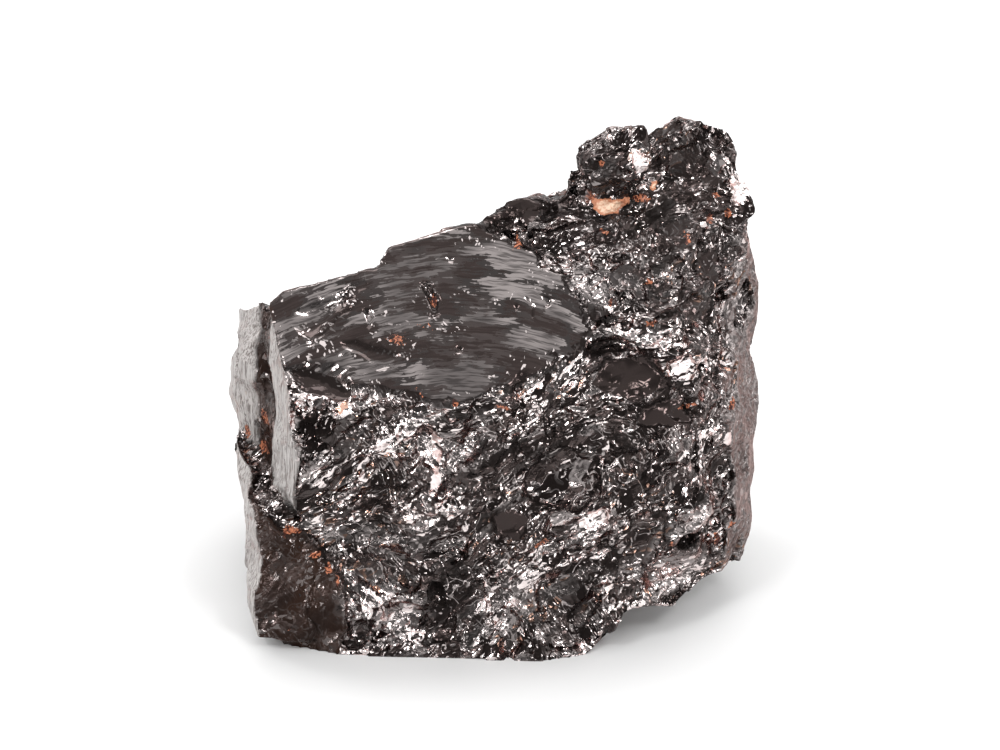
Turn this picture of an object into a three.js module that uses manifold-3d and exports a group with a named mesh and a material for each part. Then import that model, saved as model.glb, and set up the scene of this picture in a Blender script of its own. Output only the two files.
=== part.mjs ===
// A lump of elite shungite: one stone, broken on every side.
// Millimetres, +Z up. The origin is the middle of the stone's footprint box, on the surface that it
// rests on. The front, along -Y, is the steep rough break under the one large glassy face.
//
// The stone is built as it broke: convex masses, each given by its corners, are joined into one
// solid, which is then split into small faces and roughened a little wherever it is broken.
import * as THREE from 'three';
import { ConvexGeometry } from 'three/addons/geometries/ConvexGeometry.js';
import { ImprovedNoise } from 'three/addons/math/ImprovedNoise.js';
import { TessellateModifier } from 'three/addons/modifiers/TessellateModifier.js';
import { mergeVertices } from 'three/addons/utils/BufferGeometryUtils.js';
import Module from 'manifold-3d';

// Driving dimensions of the whole stone
const front = -16.5; // foot of the front face
const back = 16.5; // furthest point behind
const left = -24.2; // outer side of the left bulge
const right = 24.3; // outer side of the right flank
const peak = 43.3; // the highest point

// The glassy face slopes up from the front: its height at the middle of its front edge, and its rise
const glassEdge = { y: -12.7, z: 23.8 };
const glassRise = 0.78; // per mm towards the back
const glassFall = -0.035; // per mm towards the right

// Surface of the broken sides
const facetLength = 2.6; // longest edge of a small face
const lumps = { size: 5.2, depth: 0.55 }; // coarse unevenness
const chips = { size: 2.3, depth: 0.28 }; // fine unevenness

function glassHeight(x, y) {
  return glassEdge.z + glassRise * (y - glassEdge.y) + glassFall * x;
}

// A point on the glassy face
function onGlass(x, y) {
  return [x, y, glassHeight(x, y)];
}

// The main mass: flat underside, steep front, the glassy face on top, and two broken slopes behind
const trunk = [
  [-13, front + 0.4, 0], [4.6, front, 0], [8.7, front + 1.2, 0], [10.6, -11.5, 0], [12.6, -6, 0],
  [15.5, 7, 0], [10, 13, 0], [-10, 13.5, 0], [-18, 8, 0], [-19.5, -6, 0], [-18.5, -14.5, 0],
  [-17.6, -14, 11.5], onGlass(-17.8, -12.7), onGlass(-3.8, -12.8), [14.2, -11.3, 21.9],
  [18.2, -10, 20.8], [18.4, -10.6, 15.8], [18.2, -11.4, 4],
  onGlass(-19.9, -5.5), onGlass(-18.8, -4.6), onGlass(-11.8, -2.6), onGlass(12.8, -3.1),
  onGlass(12.8, -5.4), onGlass(9.3, -7.4),
  [-20.7, -4.5, 11], [-19.5, 6.5, 21], [-20.5, 6, 12], [-14, 14.5, 9], [-4, back, 12],
  [6, 15.8, 17], [14, 15.2, 14], [-8, 11, 26], [7, 11.5, 30],
];

// The middle of the glassy face runs up to a higher ridge
const ridge = [
  onGlass(-10.5, -2.1), onGlass(-9.5, -0.8), onGlass(-3.8, 0.9), onGlass(5.7, 2.7), onGlass(9.2, 0.6),
  onGlass(-9, -5), onGlass(10, -5), [-8, 8, 27.5], [8, 10, 31], [0, 0, 20],
];

// The right side: a wall turned a little to the front, undercut below
const flank = [
  [18.2, -10, 20.8], [18.4, -10.6, 15.8], [18, -11, 3.6], [13.2, -14, 4.6], [10.5, -14.9, 1.2],
  [22.3, -7.4, 4.7], [23.4, -6.3, 4.5], [right, -2.5, 7], [24, 0.5, 10.4], [23.9, 1.5, 17.2],
  [23.9, 2.2, 23.8], [23, 4.4, 30], [22.6, 6, 34.2], [22.5, 11, 12], [18, 15.4, 14],
  [21.5, 11.5, 30], [16, 13.5, 30], [20, 7, 2.5], [14, -4, 1.2], [12, 8, 20], [17.5, -8, 25],
];

// The rugged slope, lying proud of the right end of the glassy face
const slope = [
  [5.8, 1.2, 35.4], [6.4, 3, 36.6], [10, -1.6, 33.3], [8, -6.7, 29], [12.6, -7.4, 29.2], [16, -9, 27.7],
  [18.3, -7.6, 26.6], [22.9, 2, 29.4], [22, 5, 34.9], [12, 2.8, 36.1], [18, 3.2, 35.9],
  [8.5, 8, 28], [20, 6, 26], [12, -2, 24], [17.6, -9.2, 23.6], [14.6, -8.6, 26],
];

// The upper right, up to the blunt peak
const crown = [
  [12, 2.6, 35.4], [14.2, 2.2, 35.8], [17.2, 2.9, 35.2], [21.4, 4.4, 34.4], [22.3, 7, 35.4], [21.9, 8, 37.4],
  [13.6, 7, 41.7], [15.8, 7.5, peak], [18, 8.3, 42], [21.3, 8.6, 41.2], [20.5, 12.6, 35],
  [13.5, 12.4, 36], [16, 10.4, 41.8], [9, 9.5, 34], [8.5, 5, 34],
];

// A small lump on the crown's right side
const sideLump = [
  [20.4, 4, 34.5], [22.8, 4.9, 35.2], [22.6, 5.2, 37], [22, 5.6, 37.9], [20.4, 4.8, 37.6], [20, 8, 34],
  [22.2, 9, 36],
];

// The rounded knob that overhangs the glassy face
const knob = [
  [7, 3.8, 38.4], [6.7, 4.3, 39.9], [7, 4.5, 41], [7.7, 4.6, 41.8], [8.7, 4.9, 42.4], [9.8, 5.1, 43],
  [11.4, 5.1, 42.8], [12.9, 5.1, 42.9], [13.8, 4.8, 41.9], [8, 2.7, 39.4], [8.5, 2.8, 41.1],
  [10.3, 2.5, 41.7], [12.6, 2.9, 41.1], [13.7, 3.7, 39.4], [12.9, 2.5, 37.2], [10.2, 1.9, 37],
  [7.8, 2.3, 37.2], [7.2, 7.2, 37.6], [8.5, 7.6, 41], [12.8, 8, 42], [9.5, 3.5, 34], [12.5, 5, 34],
];

// The low block on the ridge, left of the knob, and the small lump between them
const ridgeBlock = [
  [-2.2, 1, 34], [-1, 2.8, 35.3], [0.2, 3.5, 36], [2.9, 3.8, 36.9], [5.6, 3.8, 36.8], [7, 3, 36.2],
  [6.4, 0.9, 34.9], [1.4, 0.4, 34.6], [0, 8, 33], [6.5, 8.5, 34],
];
const ridgeLump = [
  [5.6, 4.2, 36.5], [5.9, 4.3, 38], [6.6, 4.4, 38.6], [7.6, 4.6, 38.6], [7.6, 6.4, 38.2],
  [6, 6.8, 37.4], [7, 5, 34], [7.8, 3, 36.5],
];

// Behind the crown and the knob the stone falls away in one broken slope
const spine = [
  [13.6, 8.5, 40.6], [16, 11, 40.4], [20.8, 10.4, 39.4], [10, 8.6, 38.2], [4.6, 7.5, 34.6], [6, 3.5, 33.5],
  [22.2, 12, 28], [22.8, 8, 29], [17.5, 15.8, 19], [8, 15.6, 19], [1, 12, 28], [16, 2, 28],
];

// A low mass on the back, and one more at its left
const rear = [
  [-9, 15.2, 3.5], [-11.5, 14, 15], [-3, back, 11.5], [5, 16.2, 3], [9, 15.9, 14], [3, 14.2, 25],
  [-8, 11.5, 25], [0, 6, 12], [12, 13, 5],
];
const rearLeft = [
  [-21.4, 9, 8], [-21, 9.5, 16], [-16.6, 13.6, 13], [-15, 13.8, 4], [-19, 9, 2], [-17, 9.5, 23],
  [-19.8, 3, 25.4], [-8, 8, 12],
];

// The smooth block at the foot of the left corner, standing out to the front and the left
const foot = [
  [-20.7, front + 0.8, 1.2], [-20.6, -13.9, 12.4], [-14.4, front + 0.7, 0.9], [-15.2, -15, 8.6],
  [-23, -4, 15], [-22.2, -6, 3.6], [-20.2, 6, 1.5], [-22.3, 4, 13], [-18, -10, 14], [-16, 0, 1],
  [-19.5, 9, 8],
];

// The left side behind it: a step out, then the bulge
const shoulder = [
  [-20.8, -4.6, 12], [-20.4, -3.4, 29.1], [-23, -1.6, 20], [-22.7, -1.4, 13], [-21.7, 0.2, 27.3],
  [-23.1, 2.5, 25.2], [left, 3.5, 17], [-23.4, 1.5, 11.6], [-22.8, 8, 15], [-20.6, 8, 4],
  [-19.5, 8, 21.5], [-21.5, 6, 5], [-14, 2, 20],
];

// Pieces that broke off: one behind the ridge, one low at the back right, and one low at the front right
const backBite = [
  [-16, 4, 40], [-6, 6, 42], [-4, 12, 27.5], [-14, 10.5, 24.5], [-18, 16, 40], [0, 20, 40], [-4, 20, 26],
  [-16, 18, 22],
];
const cornerBite = [
  [12, 17, -2], [17.5, 9, -2], [26, 7, -2], [26, 20, -2], [21, 14, 9], [26, 11, 9], [15, 18, 9],
  [26, 20, 12],
];
const heelBite = [
  [10.4, -18, -2], [10.8, -18, 2], [13.2, -18, 6.6], [18.6, -18, 7], [21, -18, -2], [10.8, -6.6, -2],
  [12, -6.2, -0.4], [19, -5.6, 0], [21, -5, -2],
];

function massOf(corners) {
  return new ConvexGeometry(corners.map((corner) => new THREE.Vector3(...corner)));
}

const wasm = await Module();
wasm.setup();

function weld(geometry) {
  const bare = geometry.clone();
  bare.deleteAttribute('normal');
  bare.deleteAttribute('uv');
  return mergeVertices(bare, 1e-4);
}

function toSolid(geometry) {
  const welded = weld(geometry);
  return new wasm.Manifold(
    new wasm.Mesh({
      numProp: 3,
      vertProperties: Float32Array.from(welded.attributes.position.array),
      triVerts: Uint32Array.from(welded.index.array),
    }),
  );
}

function toGeometry(solid) {
  const mesh = solid.getMesh();
  const geometry = new THREE.BufferGeometry();
  geometry.setAttribute('position', new THREE.BufferAttribute(Float32Array.from(mesh.vertProperties), 3));
  geometry.setIndex(new THREE.BufferAttribute(Uint32Array.from(mesh.triVerts), 1));
  return geometry;
}

const noise = new ImprovedNoise();

// A smooth push, up to about depth, that differs from place to place and in each direction
function push(point, { size, depth }) {
  const { x, y, z } = point.clone().divideScalar(size);
  return new THREE.Vector3(
    noise.noise(x + 11.3, y, z),
    noise.noise(x, y + 27.1, z),
    noise.noise(x, y, z + 41.7),
  ).multiplyScalar(depth * 2);
}

// 0 on the glassy face and 1 away from it
function brokenness(point) {
  const above = Math.abs(point.z - glassHeight(point.x, point.y));
  return THREE.MathUtils.smoothstep(above, 0.2, 1.2);
}

// The underside stays flat, and the glassy face nearly so
function roughen(geometry) {
  const position = geometry.attributes.position;
  const point = new THREE.Vector3();
  for (let i = 0; i < position.count; i += 1) {
    point.fromBufferAttribute(position, i);
    const rough = 0.15 + 0.85 * brokenness(point);
    const move = push(point, lumps).add(push(point, chips)).multiplyScalar(rough);
    const lifted = THREE.MathUtils.smoothstep(point.z, 0, 2.5);
    point.addScaledVector(move, lifted);
    position.setXYZ(i, point.x, point.y, point.z);
  }
  return geometry;
}

const masses = [
  trunk, ridge, flank, slope, crown, sideLump, knob, ridgeBlock, ridgeLump, spine, rear, rearLeft, foot,
  shoulder,
];
const bites = [backBite, cornerBite, heelBite];
const solidOf = (corners) => toSolid(massOf(corners));
const joined = masses.map(solidOf).reduce((sum, solid) => sum.add(solid));
const broken = bites.map(solidOf).reduce((rest, bite) => rest.subtract(bite), joined);

const split = new TessellateModifier(facetLength, 12).modify(toGeometry(broken).toNonIndexed());
const stone = roughen(weld(split));

// Roughening shifts the outline by a fraction of a millimetre, so the footprint is centred again
stone.computeBoundingBox();
const middle = stone.boundingBox.getCenter(new THREE.Vector3());
stone.translate(-middle.x, -middle.y, 0);
stone.computeVertexNormals();

const blackGlass = new THREE.MeshStandardMaterial({ color: 0x2a2523, roughness: 0.25, metalness: 0.3 });

const shungite = new THREE.Mesh(stone, blackGlass);
shungite.name = 'shungite';

const group = new THREE.Group();
group.add(shungite);

export default group;
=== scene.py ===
# Elite shungite: one broken lump of black glassy stone, with rust specks and a cream mineral seam.
# Sizes are in millimetres unless a note says otherwise; Blender's own units are metres.
import math
import bmesh
import bpy
import numpy as np
from mathutils import Matrix, Vector, noise


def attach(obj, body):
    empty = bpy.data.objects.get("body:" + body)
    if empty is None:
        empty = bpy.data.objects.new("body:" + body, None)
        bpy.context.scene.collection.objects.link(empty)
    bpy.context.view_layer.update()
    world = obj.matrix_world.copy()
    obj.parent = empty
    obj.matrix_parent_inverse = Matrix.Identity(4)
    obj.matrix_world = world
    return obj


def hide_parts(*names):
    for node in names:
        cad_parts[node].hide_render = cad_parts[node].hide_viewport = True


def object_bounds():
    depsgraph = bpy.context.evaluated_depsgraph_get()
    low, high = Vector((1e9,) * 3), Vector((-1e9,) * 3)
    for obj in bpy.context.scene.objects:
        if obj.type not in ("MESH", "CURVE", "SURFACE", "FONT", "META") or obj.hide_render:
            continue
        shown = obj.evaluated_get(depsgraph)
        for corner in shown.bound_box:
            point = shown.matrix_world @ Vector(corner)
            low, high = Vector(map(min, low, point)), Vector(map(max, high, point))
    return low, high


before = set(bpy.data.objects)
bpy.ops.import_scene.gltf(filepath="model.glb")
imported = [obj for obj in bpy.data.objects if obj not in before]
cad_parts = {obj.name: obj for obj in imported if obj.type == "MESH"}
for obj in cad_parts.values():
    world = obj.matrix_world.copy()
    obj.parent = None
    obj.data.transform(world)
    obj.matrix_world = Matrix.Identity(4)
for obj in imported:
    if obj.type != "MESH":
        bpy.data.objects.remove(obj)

from types import SimpleNamespace

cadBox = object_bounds()
mm = 0.001
stoneNode = "shungite"

# the shape: a fine copy of the CAD stone, chipped all over, then marked

shape = {
    "voxel": 0.24,  # size of the fine faces before thinning
    "faceBudget": 190000,  # triangles kept
    "flat": 0.95,  # faces this far inside a smooth zone are shaded smooth
    "glassEdge": (-12.87, 23.8),  # y and z of the glassy face's front edge, at the middle
    "glassRise": 0.78,  # mm up per mm back
    "glassFall": -0.035,  # mm up per mm right
    "glassFront": (  # x and y of its front edge
        (-18.3, -10.6), (-13, -11.6), (-8, -11.9), (-4.5, -13), (2.3, -10.8), (6, -9), (10.5, -7),
    ),
    "glassRight": (  # y and x of its right edge
        (-14, 6), (-9, 6), (-7.8, 8.3), (-6.3, 9.6), (-4.6, 9.1),
        (-2.4, 6.4), (-1.3, 3.8), (-0.4, 2), (0.5, 0), (1.2, -2.5),
    ),
    "footEdge": ((-21, 13.6), (-20.2, 13.2), (-15.8, 9.8), (-13.2, 7.2), (-12.6, 0)),  # x and z
    "leftward": (-0.88, -0.47, 0),  # the way that the left strips face
    "wander": ((2.2, 4, 0.9), (0.8, 14, 0.4)),  # how the zones' edges wander: size, seed, reach
    "zones": {  # for each measure: where the zone begins, where it is whole, how far that wanders
        "glassy": {
            "off": (1, 0.5, 0), "up": (0.45, 0.6, 0), "back": (-0.3, 0.4, 0.7), "inward": (-0.9, 0.9, 2.6),
        },
        "beside": {"off": (2, 1, 0), "up": (0.35, 0.55, 0), "inward": (-4, -0.5, 0)},
        "strip": {"left": (0.72, 0.86, 0), "x": (-17.2, -17.9, 0), "y": (-6, -7, 0), "z": (13, 14.5, 1)},
        "lowStrip": {
            "left": (0.72, 0.86, 0), "x": (-20.2, -20.6, 0), "y": (-6, -7, 0), "z": (14, 12.5, 0),
        },
        "farStrip": {"left": (0.45, 0.65, 0), "x": (-21.2, -21.8, 0.4)},
        "foot": {"below": (-0.2, 0.3, 0.4), "x": (-12.4, -13.2, 1), "y": (-8, -10, 0)},
        "backFoot": {"left": (0.35, 0.5, 0), "x": (-18.2, -19, 0.5)},
        "grainy": {"right": (0.55, 0.75, 0), "x": (20.6, 21.5, 0.5), "y": (6, 4, 0), "z": (33, 30, 0)},
    },
    "rounded": (  # the knob and the low dome beside it: left, right and lower ends
        ((5.5, 6.5), (15, 14), (35.5, 37)),
        ((-3.5, -2.5), (7, 6), (34.5, 35.5)),
    ),
    "soften": (0.5,) * 8 + (0.5, -0.51) * 12,  # smoothing of the rounded parts, turn by turn
    "level": (0.5, -0.52) * 5,  # and of the rest, in and out, so that nothing shrinks
    "lifted": (0, 1.5),  # z over which the smoothing begins
    "resting": (0, 1.4),  # and the chipping, so that the underside stays flat
    "grain": (34, 1.9),  # degrees up to the right, and how much longer the chips are that way
    "warp": (7, 1.6),  # size and reach of the bend given to the chips
    "chips": (  # size, level, tilt, hollow, seed, and how strongly the crests show, where painted glints gather
        (3.2, 0.24, 0.24, 0.16, 3.1, 1),
        (1.4, 0.07, 0.22, 0.11, 12.1, 0.8),
    ),
    "chipTop": 88,  # per cent of the surface that is chipped away
    "crestWidth": 0.045,  # of the chips' size
    "spared": {"glassy": 1, "combed": 0.75, "foot": 0.75, "grainy": 0.85, "beside": 0.6},  # by the chips
    "gentle": (  # places with shallow chips, and their reach
        (22.2, 4, 33.6, 3.2), (24, 8, 30, 2.5), (13.2, 4.6, 42.4, 2.4), (20, 11.8, 35.2, 3.4),
        (21.9, 11.8, 27.8, 2.8), (17.3, 14.6, 22.6, 2.2), (10.6, 15.5, 20.3, 2.2), (21.6, 11.4, 33.2, 2.6),
    ),
    "gentleShare": 0.85,  # how much shallower the chips are there
    "pitWarp": (0.6, 0.35, 60),  # size, reach and seed of the pits' uneven outline
    "pits": (2.3, 0.84, 0.35),  # spacing, share left whole, depth of the pits in the glassy face
    "ripple": (0.25, 1.6, 8, 0.07),  # of the glassy face: stretch, size, seed, height
    "markWarps": ((3.2, 1.2, 50), (1, 0.35, 90)),  # size, reach and seed of the marks' uneven outline
    "cutWarp": 0.35,  # a cut has straighter sides: the share of that it gets
    "markReach": 3,  # a mark stays within this height of its place
    "blunt": (5, 8, 0.18, 0.42),  # thin spikes are taken down: times, turns of smoothing, from and to mm
    "ragged": (0.45, 2, 0.5),  # how ragged the spots are: size, seed, reach
    "spotDepth": 3.5,  # a spot's reach from front to back
}

# marks: kind, x, y, z, the way it faces in degrees right and up, half length, half width, turn, depth, calm
stoneMarks = (
    ("hollow", -16.4, -13.3, 23.9, -10, 15, 1.2, 1, 30, 0.7, 0),
    ("hollow", -14.7, -13.5, 22.6, -5, 10, 1, 1.5, -20, 0.8, 0),
    ("hollow", -16.6, -13.7, 21.6, -10, 0, 0.9, 1.1, 10, 0.7, 0),
    ("hollow", -15.6, -13.9, 20.2, -8, 0, 1.5, 0.5, -8, 1, 0),
    ("cut", -15.4, -13.2, 24.6, -20, 30, 0.8, 0.5, 30, 0.3, 0.5),
    ("cut", -11.6, -13.8, 22, -12, 24, 1.5, 0.8, 40, 0.3, 0.35),
    ("cut", -9, -13.8, 22.6, 8, 22, 1.5, 0.8, 38, 0.3, 0.35),
    ("cut", -6.9, -13.6, 23.4, -10, 26, 1.3, 0.7, 35, 0.25, 0.35),
    ("cut", -5.5, -14.2, 20.2, 12, 20, 0.9, 1.9, 8, 0.35, 0.35),
    ("cut", -12.6, -14.5, 19.6, -14, 10, 1.8, 1, 20, 0.25, 0.35),
    ("scoop", -9.2, -15, 15.5, 0, 0, 3.4, 1.2, 28, 1, 0.35),
    ("scoop", -1.6, -14.2, 20.8, 5, 10, 4.2, 1.5, 52, 0.9, 0.35),
    ("scoop", -3.6, -14.8, 17, -8, 0, 2.4, 1.1, 40, 0.6, 0.35),
    ("groove", 2.2, -14.3, 22.3, 0, 0, 4.6, 0.55, 86, 0.7, 0),
    ("cut", 1.7, -15.2, 12.6, 2, -4, 1.3, 1.2, 20, 0.3, 1),
    ("cut", 9.3, -15, 12.8, 6, 20, 1.4, 1, 35, 0.35, 0.35),
    ("groove", 9.4, -14.9, 18, 0, 0, 3.5, 0.14, 87, 0.3, 0),
    ("scoop", 6.2, -14.8, 17.2, 0, 5, 3.4, 3, 0, 0.7, 0.35),
    ("scoop", 12.4, -13.8, 18.6, 10, 5, 3, 1.5, -8, 0.8, 0.35),
    ("scoop", 15.9, -12.4, 15.6, 24, 0, 2.1, 2.4, 20, 0.6, 0.35),
    ("scoop", 3.7, -15.3, 8.8, 6, 5, 1.5, 1.7, -20, 0.5, 0.35),
    ("scoop", 7.2, -15.3, 6, -6, 0, 2.2, 2.6, 30, 0.5, 0.35),
    ("hollow", -4.2, -15.9, 5.9, 0, 0, 0.65, 1.2, 0, 1.7, 0),
    ("hollow", 18.1, -11.3, 9.3, 28, 0, 1.4, 1.1, 15, 1.8, 0),
    ("cut", 14.6, -13.2, 8.8, 30, 0, 0.5, 1.7, -16, 0.2, 1),
    ("cut", 17, -12, 7.2, 18, -18, 3, 1.1, 18, 0.3, 0.4),
    ("groove", -16.7, -15.6, 10.3, -6, 0, 4.8, 0.45, -40, 0.55, 0),
    ("groove", -15.8, -16.2, 5, 0, 0, 4.6, 0.22, 88, 0.4, 0),
    ("scoop", -8.8, -15.9, 9, 0, -4, 3.4, 1.7, -38, 0.6, 0.35),
    ("scoop", -8.2, -16, 3.6, 4, 8, 2.6, 1.7, 12, 0.5, 0.3),
    ("scoop", -1.2, -15.9, 3.8, -6, 6, 1.9, 2.4, -15, 0.6, 0.35),
    ("scoop", -1.4, -15.3, 12.6, 0, 0, 2.2, 1.3, 30, 0.5, 0.35),
    ("scoop", -15.3, -6.2, 29.5, 0, 52, 3.7, 1.2, 35, 0.45, 0.8),
    ("scoop", -13.2, -4.9, 30.4, 0, 52, 2.6, 0.7, 33, 0.35, 0.8),
    ("groove", -5.9, -4.6, 30.4, 0, 52, 1.9, 0.4, -74, 1.1, 0),
    ("groove", 2.9, -5.4, 29.8, 0, 52, 0.9, 0.16, -78, 0.6, 0),
    ("groove", -14.4, -6.9, 28.8, 0, 52, 3.6, 0.12, 34, 0.25, 0),
    ("scoop", -10.4, -9.2, 27.2, 0, 52, 3.2, 1.2, -18, 0.3, 0.9),
    ("groove", -3.8, -8.6, 27.4, 0, 52, 0.5, 0.18, 70, 0.5, 0),
    ("groove", 4.8, -5.1, 30, 0, 52, 0.5, 0.22, 10, 0.5, 0),
    ("groove", -10.6, -6.3, 29, 0, 52, 0.6, 0.22, -70, 0.5, 0),
    ("scoop", -15.2, -11.2, 25.9, 0, 48, 3.2, 1.3, -14, 0.35, 0.8),
    ("scoop", -11.7, -10, 26.5, 0, 52, 2.8, 0.9, -12, 0.14, 0.9),
    ("cut", 11.9, -8.9, 25.3, 3, 50, 2.7, 1.6, 0, 0.25, 1),
    ("cut", 15.3, -10.2, 22.6, 3, 50, 2.6, 1.2, 12, 0.25, 1),
    ("groove", 9.9, -8, 27.8, 0, 20, 2.4, 0.5, 2, 1.4, 0),
    ("groove", 14.6, -8.6, 27.3, 0, 20, 2.6, 0.16, 4, 0.5, 0),
    ("groove", 10.9, -2.5, 33.4, 0, 45, 1.4, 0.35, 0, 1, 0),
    ("cut", 16.8, -9.4, 25.5, 10, 24, 1.3, 1.6, 0, 0.3, 0.4),
    ("hollow", 19.1, -8.4, 21.6, 50, 0, 1, 0.7, 0, 1.1, 0),
    ("hollow", 19.4, -6.6, 25.4, 45, 0, 0.9, 1.1, 20, 1, 0),
    ("hollow", 19.6, -6.4, 23.4, 50, 0, 0.9, 0.5, 0, 0.9, 0),
    ("groove", 18.7, -9.6, 19.3, 45, 0, 4.6, 0.3, 88, 0.8, 0),
    ("hollow", 21.3, -7, 11.6, 50, 0, 0.7, 0.5, 0, 1, 0),
    ("bump", 16.7, -0.2, 34, 10, 50, 1.9, 1.6, 0, 0.5, 0.6),
    ("bump", 13.8, 6.4, 41.5, 0, 60, 1.2, 1.4, 0, 0.8, 0),
    ("bump", 21.9, 5, 36.4, 55, 10, 2.4, 2.4, 0, 0.7, 0.2),
    ("bump", 21.9, 3.6, 33.2, 50, 25, 2.2, 2, 0, 0.7, 0.2),
    ("scoop", 23.7, -0.6, 19.6, 62, 10, 6, 3.2, 90, 0.5, 0),
    ("calm", 9.6, 2.2, 39.4, -5, 10, 2.6, 1.9, 0, 0, 0.4),
    ("calm", 0.9, 2.2, 35.8, -5, 45, 2.7, 1.5, 12, 0, 0.85),
    ("calm", 5.2, 3, 36.2, 5, 45, 1.2, 1.2, 0, 0, 0.7),
    ("cut", -7.4, -14.3, 20.4, -8, 14, 1.1, 0.7, 40, 0.3, 0.2),
    ("cut", 1.3, -15.4, 9.2, -10, 8, 1.5, 1.1, 25, 0.3, 0.35),
    ("cut", -10.9, -15.4, 7.4, 8, 0, 1.5, 1.1, -20, 0.3, 0.35),
    ("cut", 12.6, -13.9, 15.4, 16, 4, 1.8, 1, 10, 0.3, 0.35),
    ("cut", 6.4, -14.8, 12.4, 4, -6, 1.4, 1.2, 30, 0.3, 0.35),
    ("cut", 16.9, 5.2, 39.8, 10, 35, 1.6, 1.2, 20, 0.3, 0.5),
    ("cut", 19.6, 6.3, 39.4, 25, 25, 1, 1.2, 0, 0.25, 0.5),
    ("cut", 16.4, 1.4, 35, 0, 50, 1.6, 0.9, 10, 0.2, 0.5),
    ("scoop", 4.2, -14.9, 22, 0, 5, 2.2, 1.3, 25, 0.5, 0.35),
    ("scoop", 14.4, -12.9, 12.2, 14, 0, 1.9, 1.3, -30, 0.5, 0.35),
    ("scoop", 8.2, -15.2, 9.4, 0, 0, 2.4, 1.2, -25, 0.5, 0.35),
    ("scoop", -11.8, -15.4, 13.2, -5, 0, 2.3, 1.2, 12, 0.5, 0.35),
    ("scoop", -6, -15.5, 12.2, 0, 0, 1.7, 2, 20, 0.5, 0.35),
    ("scoop", 1.8, -16, 3, 4, 0, 1.5, 2.2, 10, 0.5, 0.35),
    ("scoop", 5.2, -16, 2.6, 0, 6, 1.7, 1.5, 0, 0.5, 0.35),
    ("cut", 19.8, -0.6, 32.6, 30, 45, 1.5, 1.3, 0, 0.2, 0.5),
    ("cut", 11.6, -3.6, 32.4, 0, 48, 1.6, 1.1, 10, 0.2, 0.5),
    ("cut", 17.6, -4.6, 29.9, 10, 45, 1.7, 1, -10, 0.2, 0.5),
    ("scoop", 14, -4.4, 30.8, 0, 45, 1.5, 1.2, 20, 0.5, 0.5),
    ("scoop", 9.4, 0.2, 34.8, 0, 40, 1.8, 0.9, 10, 0.4, 0.5),
    ("scoop", 19.2, 5.2, 38.4, 15, 30, 1.4, 1.5, 0, 0.5, 0.5),
    ("cut", 14.9, 6.4, 42.2, -8, 50, 1.3, 1.1, 0, 0.2, 0.5),
    ("cut", 12.9, 2.2, 40.1, 20, 20, 0.8, 1.4, 14, 0.3, 0.2),
    ("cut", 21.6, 4.6, 36.7, 14, 20, 0.7, 1, 0, 0.2, 0.2),
    ("groove", 4.6, 2.7, 36.2, 0, 45, 1.6, 0.3, 78, 0.9, 0),
    ("groove", 0.4, 1.4, 35.2, 0, 45, 1.3, 0.25, 60, 0.6, 0),
    ("groove", 10, 1.6, 35.2, 0, 10, 2.6, 0.3, 2, 0.5, 0),
    ("bump", 10.5, 2, 36.1, 0, 10, 2.4, 0.8, 2, 0.5, 0.6),
)

# coloured spots: x, y, z, half length, half height
rustSpots = (
    (-8.8, -8.1, 27.9, 0.8, 0.2), (-6, -7.3, 28.6, 0.45, 0.22), (-6.9, -7, 28.8, 0.3, 0.16),
    (-5.5, -5.2, 30, 0.25, 0.4), (1.8, -0.6, 33.4, 0.25, 0.3), (0.2, -1.2, 33, 0.25, 0.15),
    (20.6, 3.7, 35, 0.3, 0.35), (19.5, 4.3, 36.3, 0.3, 0.25), (18.9, 2.3, 34.8, 0.25, 0.2),
    (13.6, -7.1, 29.4, 0.45, 0.2), (10.1, -6.4, 30.3, 0.35, 0.3), (17.3, -9.5, 21.7, 1, 0.16),
    (21.4, -4.6, 19.5, 0.35, 0.4), (4.4, -15, 10.9, 0.7, 0.3), (21.7, -7, 8.6, 0.45, 0.2),
    (20.4, -8.2, 7.6, 0.28, 0.6), (16.1, -12.3, 9.6, 0.25, 0.5), (9.5, -0.8, 34.5, 0.5, 0.18),
    (0.9, -13, 23.4, 0.7, 0.2), (-17.6, -15.2, 11.3, 0.9, 0.25), (-14.4, -15.8, 8.1, 0.3, 0.4),
    (-17.6, -16.3, 2.6, 0.3, 0.2), (-22.3, -3.5, 14.9, 0.35, 0.6), (-20.6, -5.8, 17.5, 0.4, 0.8),
    (-20.8, -6, 14.5, 0.5, 0.6), (-15.6, -15.6, 9.4, 0.6, 0.22), (-13.6, -15.9, 6.6, 0.22, 0.7),
    (-6.3, -11.7, 25, 0.15, 0.45), (8.3, 1.9, 36.8, 0.6, 0.5), (12.7, 2.3, 36.6, 0.8, 0.35),
    (13.5, -2, 31.5, 0.3, 0.3), (-3.4, -12.6, 24.2, 0.25, 0.3), (9, 3, 40.3, 0.3, 0.25),
    (16.9, 0.4, 34, 0.25, 0.3),
)

creamSpots = (
    (10, 2.1, 36.3, 1.7, 0.6), (13.9, 2.4, 37.5, 0.35, 0.3), (-6.1, -1.4, 33.1, 0.3, 0.15),
)

# where the lighter streaks, painted reflections of the light above, lie thickest on the glassy face:
# x, y, z, half length, half height, degrees turned, strength
reflectionStreaks = (
    (2, -3.3, 31.2, 8.5, 1.5, 0, 1), (-12, -10.2, 26.2, 3.2, 0.8, -8, 0.7),
    (-15.8, -5.6, 29.8, 3, 0.8, 28, 0.9), (-9.5, -2.2, 32.4, 4, 0.7, 10, 0.8),
    (5, -7, 28.3, 3.5, 0.7, 5, 0.7), (-9.5, -6.3, 29.2, 3.5, 0.5, 0, 0.6),
)
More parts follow.
